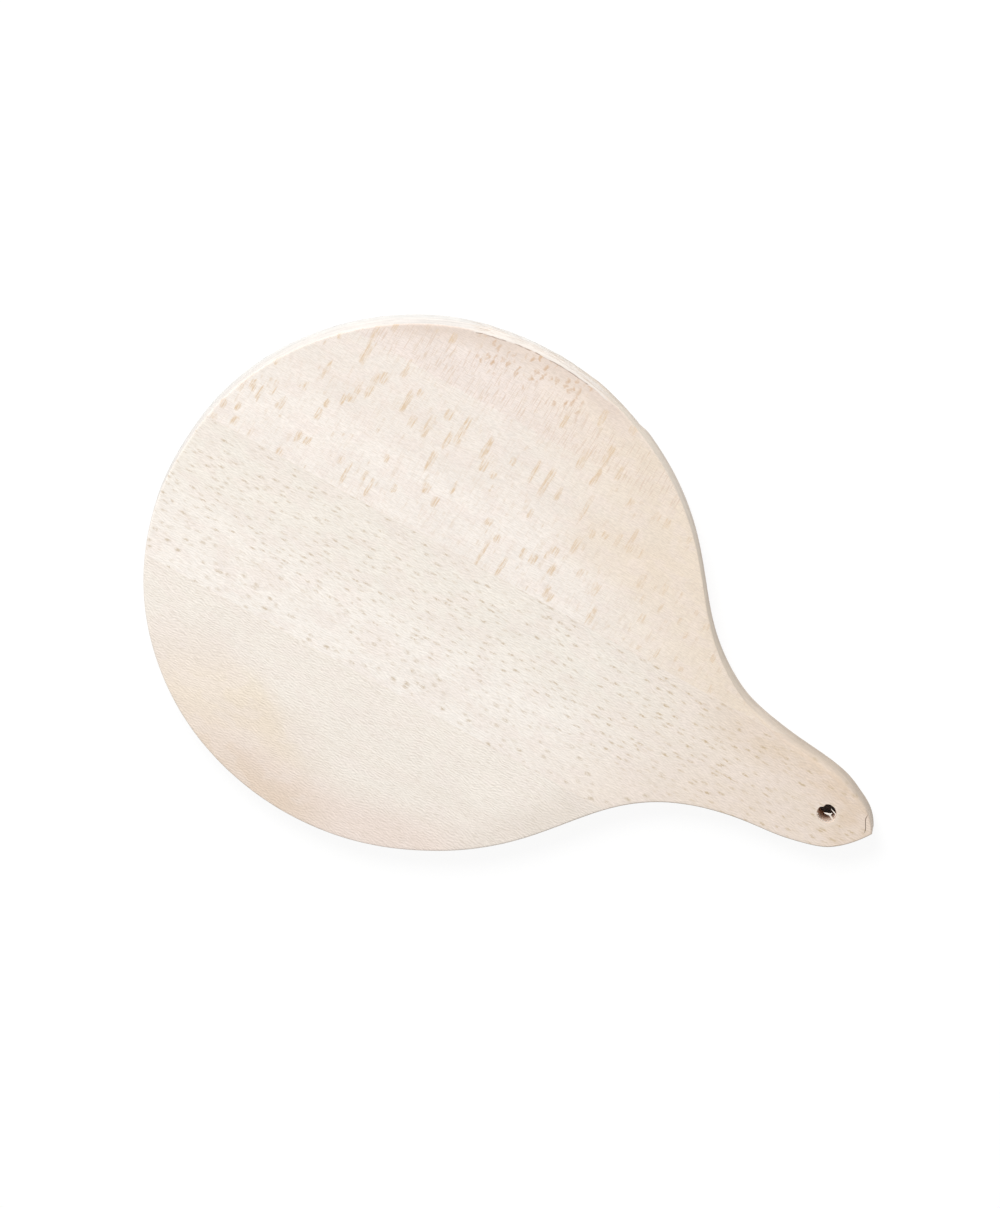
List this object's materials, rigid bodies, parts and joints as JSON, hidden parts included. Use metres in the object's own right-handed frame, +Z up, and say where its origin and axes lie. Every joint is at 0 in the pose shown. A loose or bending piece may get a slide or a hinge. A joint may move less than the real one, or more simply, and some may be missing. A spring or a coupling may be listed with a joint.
{
  "type": "polenta board",
  "caption": "Round flat wooden serving board with a tapered handle and a hanging hole, edge-glued from staves, for turning out and cutting polenta.",
  "frame": {"origin": "on the underside, under the middle of the disc", "axes": "+X along the handle towards its tip, +Z up out of the serving face, +Y across the staves"},
  "size_m": [0.4, 0.28, 0.016],
  "materials": {
    "quarter_sawn_beech": "sanded, unoiled, with ray flecks across the grain",
    "flat_sawn_beech": "sanded, unoiled, with short dashes along the grain",
    "plain_beech": "sanded, unoiled, with fine pores only",
    "wood_glue": "cured glue film, sanded flush"
  },
  "bodies": {
    "root": {"upper_stave": "quarter_sawn_beech", "middle_stave": "flat_sawn_beech", "lower_stave": "plain_beech", "upper_glue_line": "wood_glue", "lower_glue_line": "wood_glue"}
  },
  "joints": []
}
